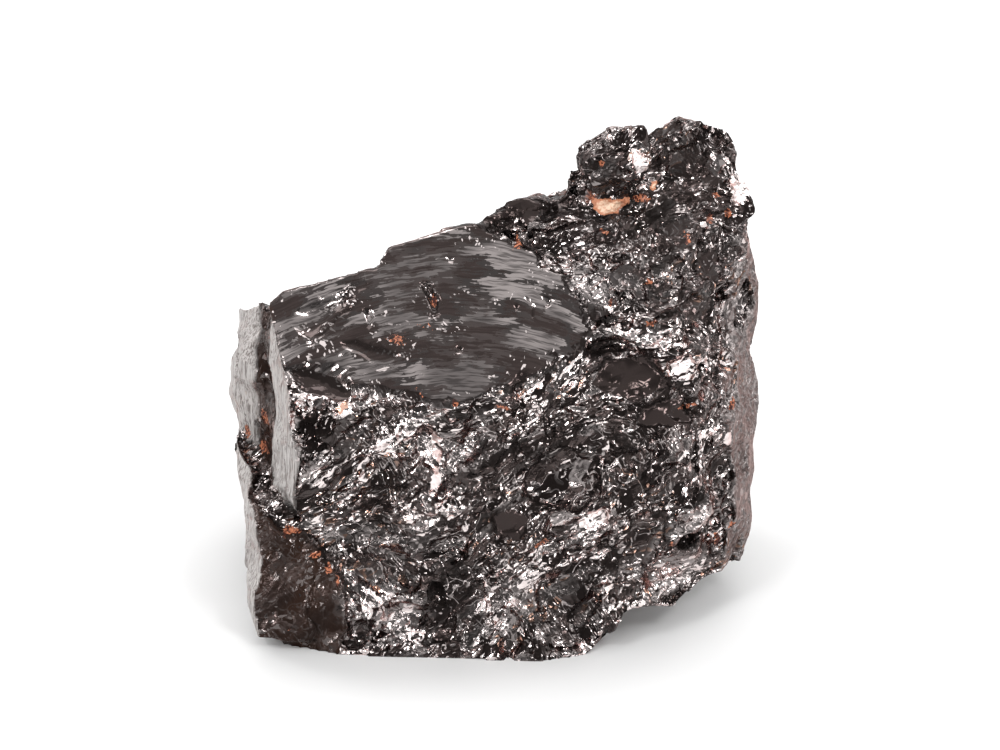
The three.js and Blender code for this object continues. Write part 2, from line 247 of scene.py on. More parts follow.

# and where the broken sides have a painted silvery, hairy sheen
silverySpots = (
    (16.6, -12, 6.2, 3, 1.5, 18, 1), (18.8, -10.9, 11.6, 1.5, 0.9, 20, 1),
    (-9.6, -15.6, 4.4, 3.2, 2.4, -15, 0.8), (-15, -15.2, 11.8, 2.2, 1, -25, 0.7),
    (-9.5, -15.4, 10.6, 2.6, 1.2, -20, 0.6), (2.6, -15.6, 5.4, 1.8, 2, 30, 0.6),
    (-2.6, -14, 20, 1.2, 3, -35, 0.8), (12.9, 2.1, 40.2, 0.7, 1.5, 14, 0.9),
    (17.2, -12, 11.4, 1.6, 1.2, 30, 0.6), (-4.6, -12.9, 23.4, 4, 0.5, 28, 0.9),
    (14.6, -13.2, 9.6, 0.3, 2, -16, 0.9),
)

# places with many bright flakes: painted glints
glintSpots = (
    (-8.4, -14.2, 20.8, 4.2, 1, 30, 0.9), (-5.1, -14.1, 19.8, 0.6, 1.8, 4, 1.5),
    (-5, -14.4, 16.9, 0.55, 1.2, -14, 1.5), (-9.6, -14.1, 20.6, 1.5, 0.4, 36, 1.4),
    (-7.6, -13.9, 21.4, 1, 0.25, 38, 1.4), (-3, -15, 14.6, 1, 1.2, 30, 0.8),
    (9.3, -15, 12.8, 1.9, 1.1, 30, 1.6), (-9.3, -16, 4.6, 2.8, 1.2, -20, 0.8),
    (-16.7, -15.3, 12.3, 1.6, 1.2, -20, 0.6), (3.7, -15.3, 8.8, 1.6, 1.3, 30, 0.8),
    (16.7, -9.4, 25.6, 1.3, 1.3, 20, 1.5), (12.7, 2.2, 39.9, 0.65, 1.9, 24, 1.45),
    (21.6, 4.6, 36.7, 1, 1.2, 0, 1.5), (16.6, -12, 6.2, 2.8, 1, 18, 0.75),
    (18.8, -10.9, 11.6, 1.2, 0.6, 20, 0.8), (-6.7, -16.2, 1.7, 1, 0.6, -30, 1.45),
    (-6, -14.8, 13.6, 1.6, 1.4, 60, 0.8), (3.4, -15.5, 7.2, 1.8, 1.3, 40, 0.8),
    (21, -7.6, 17.6, 0.5, 0.9, 0, 1.4), (9.7, -13, 17.2, 0.14, 3.8, 0, 1.3),
    (1.8, 0.1, 34.6, 0.8, 0.4, 20, 1.2), (-14.6, -13.5, 24.6, 2.2, 1.2, 30, 0.25),
    (13.5, -7, 28, 2.5, 1.5, 0, 0.6), (6.8, -9.6, 25.6, 1.6, 1.2, 20, 0.8),
    (-0.5, -13.5, 24.6, 2.6, 0.7, 30, 0.6), (19.6, -9.5, 19, 0.8, 1.6, 0, 0.7),
    (18.5, -10.2, 17.6, 0.2, 3.8, 0, 1.2), (-17.2, -7.4, 28.5, 2.4, 0.35, 38, 0.6),
    (-13.6, -5, 30.3, 2.4, 0.35, 33, 0.6), (-8.6, -9, 27.2, 1.6, 0.4, 0, 0.35),
    (5.4, -8.8, 26.8, 0.9, 0.5, 0, 0.6), (-5.9, -4.6, 30.4, 0.5, 1.6, 10, 0.45),
    (6.4, -3.4, 31.2, 2.6, 1.2, -40, 0.2), (-15.6, -8.8, 27.6, 3.4, 0.8, 32, 0.3),
    (-15.4, -13.2, 22.4, 2.2, 2.6, 0, 0.35), (3.4, -0.8, 33, 2, 0.7, -25, 0.25),
    (-3.4, -9, 27.1, 0.4, 0.4, 0, 0.6), (-6.4, -10.8, 25.8, 0.3, 0.5, 0, 0.7), (1, -1.4, 33, 1, 0.3, 10, 0.2),
)

# and places painted darker: few of them, and a weaker reflection
quietSpots = (
    (-13.5, -13.8, 21.2, 3.6, 1.8, 10, 0.8), (-9.2, -15, 15.4, 3.8, 1.5, 28, 1),
    (-10.2, -15.4, 11, 5, 2.2, -6, 0.8), (-0.6, -14.2, 18.6, 2.4, 3.2, -35, 0.9),
    (5.2, -14.6, 18.6, 2.6, 3.6, 0, 0.9), (12.6, -13.2, 18.2, 4.6, 3.4, 0, 0.85),
    (1.7, -15.2, 12.6, 1.9, 1.7, 0, 1), (-3.2, -15.9, 7, 2, 3.4, 10, 0.9), (7, -15.4, 3.2, 3.4, 2.2, 0, 0.8),
    (8, -15, 7.6, 2, 1.6, 20, 0.8), (14.4, 0.2, 34.4, 2.4, 1.8, 0, 0.9), (18.4, -3.6, 30.4, 2.2, 1.8, 0, 0.8),
    (19.8, -0.4, 32.8, 1.6, 1.4, 0, 0.9), (16.4, 6, 40.6, 2.4, 1.8, 0, 0.7), (9.6, 2.2, 39.4, 3, 2.4, 0, 0.6),
    (1.6, 2.4, 36, 4.4, 1.6, 8, 0.9), (9, 0.4, 34.6, 2.6, 1, 0, 0.7), (11, -5.6, 31, 2.6, 1.2, 0, 0.6),
    (-17.6, -15, 14, 2.2, 1.8, 0, 0.7), (4.6, -15.3, 11.6, 1.2, 1.6, 0, 0.5),
    (6.8, -3.4, 31.4, 2.8, 1.5, -40, 0.7), (15.2, -13, 11.2, 1.8, 1.6, 0, 0.8),
    (-14.6, -15.8, 2.8, 1.6, 2, 0, 0.6),
)


def smoothStep(low, high, value):
    t = np.clip((value - low) / (high - low), 0.0, 1.0)
    return t * t * (3.0 - 2.0 * t)


def readArray(items, name, width=3, kind=np.float32):
    values = np.zeros(len(items) * width, kind)
    items.foreach_get(name, values)
    return values.reshape(-1, width).astype(float)


def readNumbers(items, name):
    return readArray(items, name, 1, np.int32)[:, 0].astype(int)


def storePoints(obj, points):
    obj.data.vertices.foreach_set("co", (points * mm).astype(np.float32).ravel())


def linked(name, mesh):
    obj = bpy.data.objects.new(name, mesh)
    bpy.context.scene.collection.objects.link(obj)
    return obj


def applyModifiers(obj):
    graph = bpy.context.evaluated_depsgraph_get()
    mesh = bpy.data.meshes.new_from_object(obj.evaluated_get(graph), depsgraph=graph)
    obj.modifiers.clear()
    obj.data = mesh


def fineCopy():
    # a merged copy of the CAD stone, remeshed into small even faces
    bm = bmesh.new()
    bm.from_mesh(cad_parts[stoneNode].data)
    bmesh.ops.remove_doubles(bm, verts=bm.verts, dist=1e-6)
    bmesh.ops.recalc_face_normals(bm, faces=bm.faces)
    mesh = bpy.data.meshes.new("stone")
    bm.to_mesh(mesh)
    bm.free()
    obj = linked("stone", mesh)
    remesh = obj.modifiers.new("fine", "REMESH")
    remesh.mode = "VOXEL"
    remesh.voxel_size = shape["voxel"] * mm
    applyModifiers(obj)
    return obj


def keepLargest(obj):
    # only the largest of the mesh's unconnected parts stays
    bm = bmesh.new()
    bm.from_mesh(obj.data)
    left, parts = set(bm.verts), []
    while left:
        reached = [left.pop()]
        for vert in reached:
            others = [edge.other_vert(vert) for edge in vert.link_edges]
            reached += [other for other in others if other in left]
            left.difference_update(others)
        parts.append(reached)
    parts.sort(key=len)
    bmesh.ops.delete(bm, geom=[vert for part in parts[:-1] for vert in part], context="VERTS")
    bm.to_mesh(obj.data)
    bm.free()


def noiseAt(points, size, seed=0.0):
    # smooth noise, about -1 to 1
    return np.array([noise.noise(Vector(p)) for p in points / size + seed])


def warped(points, size, reach, seed=0.0):
    shift = np.stack([noiseAt(points, size, seed + k * 17.7) for k in range(3)], axis=1)
    return points + shift * reach


def alongGrain(points):
    # coordinates shortened along the grain, so that a pattern made in them is long that way
    turn, stretch = math.radians(shape["grain"][0]), shape["grain"][1]
    x, y, z = points.T
    along = x * math.cos(turn) + z * math.sin(turn)
    return np.stack([along / stretch, y, z * math.cos(turn) - x * math.sin(turn)], axis=1)


def softened(points, ends, share, amounts):
    # the points moved towards the middle of their neighbours, by each point's share, or away from it
    count = np.bincount(ends.ravel(), minlength=len(points))[:, None]
    for amount in amounts:
        total = np.zeros_like(points)
        for k in range(3):
            total[:, k] = np.bincount(ends[:, 0], points[ends[:, 1], k], len(points))
            total[:, k] += np.bincount(ends[:, 1], points[ends[:, 0], k], len(points))
        points = points + (total / count - points) * amount * share[:, None]
    return points


def chipsAt(points, size, level, tilt, hollow, seed):
    # flat or hollow chips that meet in sharp crests: the lowest of the nearest cells' surfaces;
    # also how near a crest each point is
    count = len(points)
    centre = np.zeros((count, 3, 3))
    chance = np.zeros((count, 3, 3))
    for i, p in enumerate(points / size + seed):
        centres = noise.voronoi(Vector(p))[1]
        for k in range(3):
            centre[i, k] = centres[k]
            chance[i, k] = noise.cell_vector(centres[k] * 71.3)
    lucky = chance * 2.0 - 1.0
    offset = (points / size + seed)[:, None, :] - centre
    lean = np.einsum("ikj,ikj->ik", offset, lucky)
    away = np.sum(offset * offset, axis=2)
    each = lucky[:, :, 0] * level + lean * tilt * size * 1.7 + away * (hollow * 2.0 + 0.04) * size
    order = np.argsort(each, axis=1)
    rows = np.arange(count)
    lowest, second = each[rows, order[:, 0]], each[rows, order[:, 1]]
    crest = np.exp(-((second - lowest) / (shape["crestWidth"] * size)) ** 2)
    return np.minimum(lowest - np.percentile(lowest, shape["chipTop"]), 0.0), crest


def pitsAt(points, spacing, whole, depth):
    # small round pits, one in some of the cells
    pits = np.zeros(len(points))
    for i, p in enumerate(points / spacing + 5.0):
        distances, centres = noise.voronoi(Vector(p))
        chance = noise.cell_vector(centres[0] * 37.9)
        if chance[0] > whole:
            radius = (0.06 + 0.1 * chance[1]) * spacing
            pits[i] = max(0.0, 1.0 - (distances[0] * spacing / radius) ** 2) * (0.4 + 0.6 * chance[2])
    return pits * depth


def levelPoints(points, ends):
    # the remeshed steps are levelled out, and the knob and the dome beside it rounded
    x, _, z = points.T
    rounded = np.zeros(len(points))
    for left, right, low in shape["rounded"]:
        rounded = np.maximum(rounded, smoothStep(*left, x) * smoothStep(*right, x) * smoothStep(*low, z))
    lifted = smoothStep(*shape["lifted"], z)
    points = softened(points, ends, rounded, shape["soften"])
    return softened(points, ends, lifted, shape["level"]), lifted


def zonesAt(points, normals):
    # how far each point is in the glassy face, beside it, in the strips, the foot and the grainy flank
    x, y, z = points.T
    (size, seed, reach), (fineSize, fineSeed, fineReach) = shape["wander"]
    wander = noiseAt(points, size, seed) * reach + noiseAt(points, fineSize, fineSeed) * fineReach
    edgeY, edgeZ = shape["glassEdge"]
    measures = {
        "x": x, "y": y, "z": z, "up": normals[:, 2], "right": normals[:, 0],
        "left": normals @ np.array(shape["leftward"]),
        "off": np.abs(z - (edgeZ + shape["glassRise"] * (y - edgeY) + shape["glassFall"] * x)),
        "back": y - np.interp(x, *np.array(shape["glassFront"]).T),
        "inward": np.interp(y, *np.array(shape["glassRight"]).T) - x,
        "below": np.interp(x, *np.array(shape["footEdge"]).T) - z,
    }
    zones = {}
    for name, zone in shape["zones"].items():
        zones[name] = 1.0
        for measure, (low, high, share) in zone.items():
            zones[name] = zones[name] * smoothStep(low, high, measures[measure] + wander * share)
    combed = np.maximum(zones.pop("strip") + zones.pop("lowStrip"), zones.pop("farStrip"))
    foot = np.maximum(zones["foot"], zones.pop("backFoot"))
    return zones | {"combed": combed, "foot": foot * (1.0 - np.clip(combed, 0, 1))}


def chipPoints(points, normals, zones):
    # moves the points to the chipped surface, and gives how near a crest each one is
    loose = np.ones(len(points))
    for name, share in shape["spared"].items():
        loose *= 1.0 - share * np.clip(zones[name], 0, 1)
    for (*place, reach) in shape["gentle"]:
        away = np.linalg.norm(points - np.array(place), axis=1)
        loose *= 1.0 - shape["gentleShare"] * smoothStep(reach, 0.5 * reach, away)
    bent = alongGrain(warped(points, *shape["warp"]))
    height = np.zeros(len(points))
    crest = np.zeros(len(points))
    for (*chips, strength) in shape["chips"]:
        cut, edge = chipsAt(bent, *chips)
        height += cut * loose
        crest = np.maximum(crest, edge * strength)
    stretch, size, seed, rise = shape["ripple"]
    height -= pitsAt(warped(points, *shape["pitWarp"]), *shape["pits"]) * zones["glassy"]
    height += noiseAt(points * np.array([stretch, 1.0, 1.0]), size, seed) * rise * zones["glassy"]
    points += normals * (height * smoothStep(*shape["resting"], points[:, 2]))[:, None]
    return crest


def markStone(points, normals, wavy, mark, surface):
    # one cut, scoop, hollow, groove or bump, or a calm place;
    # gives the share of each point inside it, and its rim
    kind, x, y, z, yaw, pitch, length, width, turn, depth = mark[:10]
    yaw, pitch, turn = math.radians(yaw), math.radians(pitch), math.radians(turn)
    out = np.array([math.sin(yaw) * math.cos(pitch), -math.cos(yaw) * math.cos(pitch), math.sin(pitch)])
    side = np.array([math.cos(yaw), math.sin(yaw), 0.0])
    rise = np.cross(out, side)
    side, rise = side * math.cos(turn) + rise * math.sin(turn), rise * math.cos(turn) - side * math.sin(turn)
    centre = np.array(surface.closest_point_on_mesh(Vector((x, y, z)) * mm)[1]) / mm
    where = points + (wavy - points) * (shape["cutWarp"] if kind == "cut" else 1.0)
    along, across = (where - centre) @ side / length, (where - centre) @ rise / width
    high = (points - centre) @ out
    near = (np.abs(high) < shape["markReach"]) & (normals @ out > 0.0)
    reach = np.sqrt(along ** 2 + across ** 2)
    if kind == "cut":
        spins = [x * 7.0 + 2.0 * math.pi * k / 5 for k in range(5)]
        reach = np.max([along * math.cos(spin) + across * math.sin(spin) for spin in spins], axis=0)
    core = near & (reach < 0.7)
    if core.any():
        high = high - np.median(high[core])
    inside = np.where(near, smoothStep(1.12, 0.95, reach), 0.0)
    rim = np.where(near, np.exp(-((reach - 1.0) * min(length, width) / 0.14) ** 2), 0.0)
    if kind == "cut":
        target = np.minimum(high, -depth)
    elif kind == "scoop":
        target = np.minimum(high, -depth * (1.0 - reach ** 2))
    elif kind == "hollow":
        target = high - depth * np.clip(1.0 - reach ** 3, 0.0, 1.0)
    elif kind == "groove":
        ends = np.clip(1.0 - along ** 4, 0.0, 1.0)
        inside = np.where(near, np.exp(-across ** 2) * ends, 0.0)
        target = high - depth
    elif kind == "bump":
        inside = np.where(near, np.clip(1.0 - reach ** 2, 0.0, 1.0), 0.0)
        target = high + depth
    else:
        target = high
    points += out * ((target - high) * inside)[:, None]
    return inside, rim if kind == "scoop" else rim * 0.0


def markPoints(points, normals, crest):
    # makes every mark in turn, and gives the calm, dark and crest masks; dark is painted shade in the hollows
    # and grooves
    calm = np.zeros(len(points))
    dark = np.zeros(len(points))
    wavy = points
    for warp in shape["markWarps"]:
        wavy = warped(wavy, *warp)
    for mark in stoneMarks:
        inside, rim = markStone(points, normals, wavy, mark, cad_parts[stoneNode])
        calm = calm * (1.0 - inside) + mark[-1] * inside
        crest = np.maximum(crest * (1.0 - inside * mark[-1]), rim)
        # hollows and grooves are marked for painted shade: fewer glints and a weaker reflection there
        if mark[0] in ("hollow", "groove"):
            dark = np.maximum(dark, inside)
    return {"calm": calm, "dark": dark, "crest": crest}


def bluntSpikes(points, ends, lifted):
    times, turns, low, high = shape["blunt"]
    for _ in range(times):
        blunt = softened(points, ends, lifted, (0.5,) * turns)
        spike = np.linalg.norm(points - blunt, axis=1)
        points += (blunt - points) * smoothStep(low, high, spike)[:, None]
    points[:, 2] = np.maximum(points[:, 2], 0.0)
    return np.clip(points, *(np.array(corner) / mm for corner in cadBox))


def spotsAt(points, spots, ragged):
    # how far inside the nearest of some oval spots each point is
    share = np.zeros(len(points))
    for x, y, z, length, height, *more in spots:
        turn, strength = more or (0, 1.0)
        away = points - np.array((x, y, z))
        cos, sin = math.cos(math.radians(turn)), math.sin(math.radians(turn))
        along, across = away[:, 0] * cos + away[:, 2] * sin, away[:, 2] * cos - away[:, 0] * sin
        deep = away[:, 1] / shape["spotDepth"]
        reach = np.sqrt((along / length) ** 2 + (across / height) ** 2 + deep ** 2)
        share = np.maximum(share, smoothStep(1.5, 0.6, reach + ragged) * strength)
    return share


def paintedMasks(points):
    # the spots of colour, the painted reflection streaks and sheen, and the painted glints
    size, seed, reach = shape["ragged"]
    ragged = noiseAt(points, size, seed) * reach
    return {
        "rust": spotsAt(points, rustSpots, ragged),
        "cream": spotsAt(points, creamSpots, ragged * 0.9),
        "flaky": spotsAt(points, glintSpots, ragged) / 1.5,
        "streaky": spotsAt(points, reflectionStreaks + silverySpots, ragged),
        "quiet": spotsAt(points, quietSpots, ragged),
    }


def thinAndShade(stone):
    # fewer faces, no loose bits, and smooth shading only where the stone is smooth
    thin = stone.modifiers.new("thin", "DECIMATE")
    thin.ratio = min(1.0, shape["faceBudget"] / (2.0 * len(stone.data.polygons)))
    applyModifiers(stone)
    keepLargest(stone)
    even = ("glassy", "calm", "foot", "combed")
    smooth = sum(readArray(stone.data.attributes[name].data, "value", 1)[:, 0] for name in even)
    corner = readNumbers(stone.data.loops, "vertex_index")
    starts = readNumbers(stone.data.polygons, "loop_start")
    stone.data.polygons.foreach_set("use_smooth", smooth[corner[starts]] > shape["flat"])


def sculptStone():
    stone = fineCopy()
    ends = readArray(stone.data.edges, "vertices", 2, np.int32).astype(int)
    points, lifted = levelPoints(readArray(stone.data.vertices, "co") / mm, ends)
    storePoints(stone, points)
    stone.data.update()
    normals = readArray(stone.data.vertices, "normal")
    print("fine stone:", len(points), "vertices")
    masks = zonesAt(points, normals)
    crest = chipPoints(points, normals, masks)
    print("chipped")
    masks.update(markPoints(points, normals, crest))
    points = bluntSpikes(points, ends, lifted)
    masks.update(paintedMasks(points))
    print("marked")
    storePoints(stone, points)
    masks.pop("beside")
    for name, values in masks.items():
        attribute = stone.data.attributes.new(name, "FLOAT", "POINT")
        attribute.data.foreach_set("value", np.clip(values, 0.0, 1.0).astype(np.float32))
    thinAndShade(stone)
    print("stone:", len(stone.data.polygons), "faces")
    return stone


stone = sculptStone()

# the stone's material: near-black glass with painted glints, sheen and reflection streaks; masks choose where
# it is streaked, combed, grainy or stained

look = {
    "black": (0.0082, 0.0064, 0.006),
    "brown": (0.019, 0.0105, 0.0078),  # the foot
    "stripReflection": (0.37, 0.355, 0.345),  # the combed strips' ribs: a light grey that is painted reflection of the backdrop at a glancing angle
    "ribShade": (0.1, 0.09, 0.085),
    "silver": (0.8, 0.715, 0.7),  # the bright flakes: painted glints
    "warmGlint": (0.72, 0.45, 0.35),  # a few warmer painted glints
    "rust": (0.36, 0.13, 0.07),
    "rustShade": (0.035, 0.01, 0.008),
    "cream": (0.62, 0.44, 0.32),
    "creamShade": (0.38, 0.16, 0.09),
    "index": 1.47,  # of refraction
    "tint": (1.0, 0.76, 0.72),  # of the reflections
    "drift": (0.09, 7.0),  # how the grain wanders: bends per mm, reach mm
    "bend": (0.7, 1.2),  # and how its edges wander
    "sliver": (34.0, 2.5),  # the painted glint flakes' slant in degrees, and how much longer they are that way
    "facets": ((0.8, 0.45), (3.0, 0.95), (5.5, 0.8)),  # per mm, and how far each size tilts
    "glintFlakes": (0.26, 0.52, 0.14),  # how many more painted glints in clusters, in the glint spots and on crests
    "quietTop": (26.0, 31.0, 1.0, 0.55),  # mm up, from and to, and the share of painted glints below and above
    "arcs": (0.5, 2.4),  # shells per mm, arcs per mm
    "hair": (-58.0, (2.8, 0.2, 0.2)),  # degrees, and the size of the dashes, mm
    "cracks": (0.24, 0.06),  # per mm, and half their width, mm
    "curves": 28.0,  # how many winding lines
    "lines": (0.3, 0.32, 0.55, 0.4),  # how bright the painted highlights are: arcs, winding lines, dashes and cracks
    "streaks": (0.13, 0.55, 0.0),  # per mm along and across
    "stria": (0.4, 5.5, 0.0),  # the fine lines in them
    "streakEdge": (0.28, 0.3, 0.14, 0.13),  # the edges' bend, and how much lines, tears and the mask add
    "streakShine": 0.05,  # of a streak's dull outer part
    "arch": (-2.0, 0.014),  # mm: where the streaks run level, and how fast they bend from there
    "ribs": (6.5, 6.5, 0.35),  # of the combed strips, per mm
    "relief": (0.5, 0.1, 3.0),  # strength, mm, and how much higher the ribs are than the grain
    "rough": (0.12, 0.34, 0.4),  # the smooth, flaky and dull places
    "evenGleam": 0.42,  # of the calm places
    "noises": {  # per mm, detail, roughness
        "patches": (0.42, 2), "tooth": (3, 3, 0.7), "torn": (1.6, 2, 0.6),
        "hair": (1, 0), "hairPlace": (0.16, 1), "curves": (0.8, 1), "curvePlace": (0.5, 1),
        "stria": (1, 2, 0.6), "streaks": (1, 3), "streakPlace": (0.17, 1),
        "ribs": (1, 3, 0.7), "grain": (2.6, 2, 0.6), "speckle": (4, 3, 0.65),
        "warmGlintPlace": (0.13, 0),
    },
    "steps": {  # where each begins, where it is whole, and what it goes from and to
        "tooth": (0.38, 0.62, 0.22, 1.55), "still": (0.35, 0.6), "loose": (0.42, 0.6, 0.1, 1),
        "cluster": (0.51, 0.66), "glintCell": (0.97, 1), "fineGlint": (0.975, 0.99), "torn": (0.36, 0.46),
        "veryGlinty": (0.7, 0.8), "glint": (0.2, 0.24), "speck": (0.945, 0.96), "speckPlace": (0.54, 0.6),
        "sheen": (0.86, 1.25, 0, 0.24), "grainSheen": (0, 1, 0.1, 0.26),
        "silverySheen": (0, 1, 0.06, 0.5),
        "arc": (0.7, 0.98), "arcSide": (0.14, 0.24), "arcReach": (0.25, 0.5), "arcCell": (0.35, 0.55),
        "hair": (0.61, 0.67), "hairPlace": (0.5, 0.58, 0, 0.6), "crackPlace": (0.47, 0.53),
        "curve": (0.9, 0.98), "curvePlace": (0.52, 0.58),
        "lined": (0.4, 0.56, 0.1, 0.32), "streakOuter": (0.705, 0.715), "streakInner": (0.775, 0.785),
        "glassInner": (1, 0.95), "glassOuter": (0.02, 0.1), "streakPlace": (0.4, 0.6, 0.5, 1.15),
        "rust": (1.52, 1.62), "cream": (0.7, 0.78), "warmGlint": (0.88, 0.89), "warmGlintPlace": (0.54, 0.6),
        "notGlinty": (0.5, 0.4), "foot": (0.35, 0.6, 0.4, 1), "ribs": (0.38, 0.56),
        "rustColour": (0.35, 0.7), "creamColour": (1.12, 1.34), "metal": (0.01, 0.06),
        "gleam": (0, 1, 0.02, 0.75), "glassGleam": (0.3, 0.7, 0.38, 0.62),
        "rough": (0.35, 0.65, 0.1, 0.24),
    },
}


class Nodes:
    # short ways to add nodes to a tree; most methods return an output socket
    def __init__(self, tree):
        self.tree = tree

    def put(self, socket, value):
        if isinstance(value, bpy.types.NodeSocket):
            self.tree.links.new(value, socket)
        elif value is not None:
            socket.default_value = value

    def add(self, kind, inputs, **settings):
        node = self.tree.nodes.new("ShaderNode" + kind)
        for key, value in settings.items():
            setattr(node, key, value)
        for key, value in inputs.items():
            self.put(node.inputs[key], value)
        return node.outputs

    def math(self, operation, a, b=None):
        return self.add("Math", {0: a, 1: b}, operation=operation)[0]

    def vector(self, operation, a, b=None):
        second = "Scale" if operation == "SCALE" else 1
        outputs = self.add("VectorMath", {0: a, second: b}, operation=operation)
        return outputs["Value" if operation in ("LENGTH", "DOT_PRODUCT") else "Vector"]

    def remap(self, value, low, high, toLow=0.0, toHigh=1.0):
        inputs = dict(enumerate((value, low, high, toLow, toHigh)))
        return self.add("MapRange", inputs, interpolation_type="SMOOTHSTEP")[0]

    def step(self, name, value):
        return self.remap(value, *look["steps"][name])

    def noise(self, where, scale, detail=2.0, rough=0.5, output="Fac"):
        inputs = {"Vector": where, "Scale": scale, "Detail": detail, "Roughness": rough}
        return self.add("TexNoise", inputs)[output]

    def cloud(self, name, where):
        return self.noise(where, *look["noises"][name])

    def patch(self, name, where):
        return self.step(name, self.cloud(name, where))

    def cells(self, where, scale, feature="F1"):
        return self.add("TexVoronoi", {"Vector": where, "Scale": scale}, feature=feature)

    def fromMiddle(self, colour):
        return self.vector("SUBTRACT", colour, (0.5, 0.5, 0.5))

    def split(self, colour):
        return self.add("SeparateColor", {0: colour})

    def axes(self, where):
        return self.add("SeparateXYZ", {0: where})

    def turned(self, where, degrees, size):
        # coordinates for a pattern that is turned about Y and then made larger
        inputs = {"Vector": where, "Rotation": (0.0, math.radians(-degrees), 0.0), "Scale": size}
        return self.add("Mapping", inputs, vector_type="TEXTURE")[0]

    def mask(self, name):
        return self.add("Attribute", {}, attribute_name=name)["Fac"]

    def blend(self, share, *colours):
        a, b = (c if isinstance(c, bpy.types.NodeSocket) else (*c, 1.0) for c in colours)
        return self.add("Mix", {"Factor": share, 6: a, 7: b}, data_type="RGBA")[2]

    def mix(self, share, a, b):
        return self.add("Mix", {"Factor": share, 2: a, 3: b}, data_type="FLOAT")[0]

    def total(self, operation, values):
        result = values[0]
        for value in values[1:]:
            result = self.math(operation, result, value)
        return result

    def times(self, *values):
        return self.total("MULTIPLY", values)

    def plus(self, *values):
        return self.total("ADD", values)

    def most(self, *values):
        return self.total("MAXIMUM", values)

    def no(self, share, amount=1.0):
        return self.math("SUBTRACT", 1.0, self.math("MULTIPLY", share, amount))


def stoneFields(n):
    # what the patterns share, all in one place that every function below calls "at": the masks,
    # and the coordinates in mm, straight, bent, and shortened along the grain
    names = "glassy combed foot grainy calm dark rust cream flaky streaky crest quiet"
    at = SimpleNamespace(**{name: n.mask(name) for name in names.split()})
    at.place = n.vector("SCALE", n.add("TexCoord", {})["Object"], 1.0 / mm)
    drift = n.fromMiddle(n.noise(at.place, look["drift"][0], 0.0, 0.5, "Color"))
    at.bend = n.fromMiddle(n.noise(at.place, look["bend"][0], 1.0, 0.5, "Color"))
    bent = n.vector("ADD", at.place, n.vector("SCALE", drift, look["drift"][1]))
    at.bent = n.vector("ADD", bent, n.vector("SCALE", at.bend, look["bend"][1]))
    turn, longer = look["sliver"]
    at.slivers = n.turned(at.bent, turn, (longer, 1.0, 1.0))
    at.broken = n.times(n.no(at.glassy), n.no(at.combed, 0.9))
    at.silvery = n.times(at.streaky, at.broken)
    at.patches = n.cloud("patches", at.slivers)
    at.tooth = n.patch("tooth", at.slivers)
    at.speckle = n.cloud("speckle", at.place)
    at.still = n.step("still", at.calm)
    loose = n.times(n.step("loose", at.patches), n.no(at.still))
    loose = n.most(loose, at.grainy, n.times(at.flaky, 0.8))
    at.loose = n.times(loose, at.broken, n.no(at.foot, 0.6), n.no(at.quiet, 0.4))
    return at


def facetNormal(n, at):
    # facets of three sizes: every cell leans its own way
    (wideScale, wideTilt), (midScale, midTilt), (fineScale, fineTilt) = look["facets"]
    wide = n.cells(at.slivers, wideScale)["Color"]
    mid = n.cells(at.slivers, midScale)["Color"]
    fine = n.cells(at.bent, fineScale)["Color"]
    at.wide, at.mid, at.fine = n.split(wide), n.split(mid), n.split(fine)
    normal = n.add("NewGeometry", {})["Normal"]
    tilts = (
        (wide, n.times(at.broken, n.no(at.calm, 0.7), wideTilt)),
        (mid, n.times(at.loose, midTilt)),
        (fine, n.times(n.most(n.times(at.grainy, 0.35), n.times(at.loose, 0.3)), fineTilt)),
    )
    for colour, share in tilts:
        normal = n.vector("ADD", normal, n.vector("SCALE", n.fromMiddle(colour), share))
    return n.vector("NORMALIZE", normal)


def paintedGlints(n, at):
    # painted glints: silver cells, single, most in clusters and along crests; specks on the glassy face
    inClusters, inPlaces, onCrests = look["glintFlakes"]
    cluster = n.times(n.step("cluster", at.patches), n.no(at.still), n.no(at.grainy))
    plenty = n.plus(n.times(cluster, inClusters), n.times(at.crest, onCrests))
    plenty = n.times(plenty, n.remap(n.axes(at.place)["Z"], *look["quietTop"]))
    plenty = n.plus(n.times(plenty, n.no(at.quiet, 1.1)), n.times(at.quiet, -0.03))
    plenty = n.plus(plenty, n.times(at.flaky, inPlaces))
    glintCell = n.step("glintCell", n.plus(at.mid[0], plenty))
    glintCell = n.most(glintCell, n.step("fineGlint", n.plus(at.fine[0], n.times(plenty, 0.25))))
    glintCell = n.times(glintCell, n.patch("torn", at.slivers), n.no(at.grainy, 0.6))
    glintCell = n.times(glintCell, at.broken, n.no(at.foot, 0.85), n.no(at.dark, 0.3), n.no(at.still))
    # where the glint spots are strongest, whole cells are painted glints
    glints = n.times(n.step("veryGlinty", at.flaky), n.step("glint", at.mid[1]), n.no(at.glassy))
    specks = n.step("speck", n.plus(at.fine[0], n.times(at.flaky, 0.45)))
    specks = n.times(specks, n.most(n.step("speckPlace", at.patches), at.flaky), at.glassy)
    return n.most(glintCell, glints, specks)


def paintedSheen(n, at):
    # a painted dull silver sheen on some wide facets and in the grainy and silvery places
    sheen = n.step("sheen", n.plus(at.wide[1], n.times(at.patches, 0.5)))
    sheen = n.times(sheen, at.tooth, n.no(at.still), n.no(at.dark), n.no(at.foot, 0.9), n.no(at.quiet))
    sheen = n.mix(at.grainy, sheen, n.step("grainSheen", at.fine[2]))
    return n.times(n.most(sheen, n.times(at.silvery, n.step("silverySheen", at.mid[2]))), at.broken)


